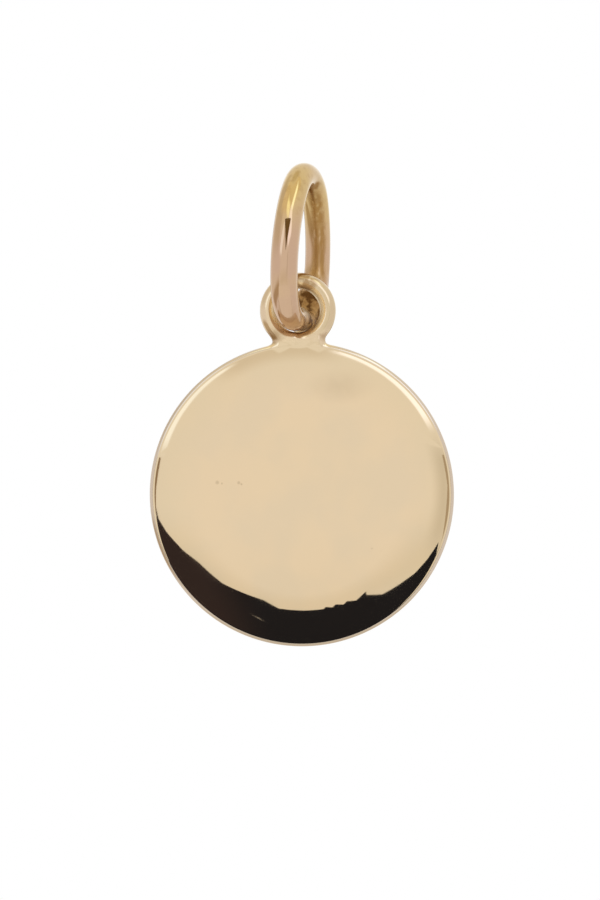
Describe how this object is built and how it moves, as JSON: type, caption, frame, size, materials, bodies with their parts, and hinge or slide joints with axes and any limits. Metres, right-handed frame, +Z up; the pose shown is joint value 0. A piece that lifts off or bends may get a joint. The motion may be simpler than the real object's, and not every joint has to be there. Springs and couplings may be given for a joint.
{
  "type": "round medal pendant",
  "caption": "Plain round polished gold medal with a soldered wire eye, hanging from an oval bail ring that takes a chain.",
  "frame": {"origin": "the chain seat: the inside of the bail's upper bow, where a chain or cord runs", "axes": "+Z up, the way the pendant hangs; the disc's front face looks along -Y; +X is the viewer's right"},
  "size_m": [0.016, 0.007, 0.0253],
  "materials": {
    "medal_gold": "polished",
    "bail_gold": "polished"
  },
  "bodies": {
    "bail": {"bail": "bail_gold"},
    "medal": {"medal": "medal_gold"}
  },
  "joints": [
    {"name": "medal_swing", "type": "hinge", "parent": "bail", "child": "medal", "pos_m": [-0.00058, 0, -0.00674], "axis": [0, 1, 0], "range_deg": [-100, 100]}
  ]
}
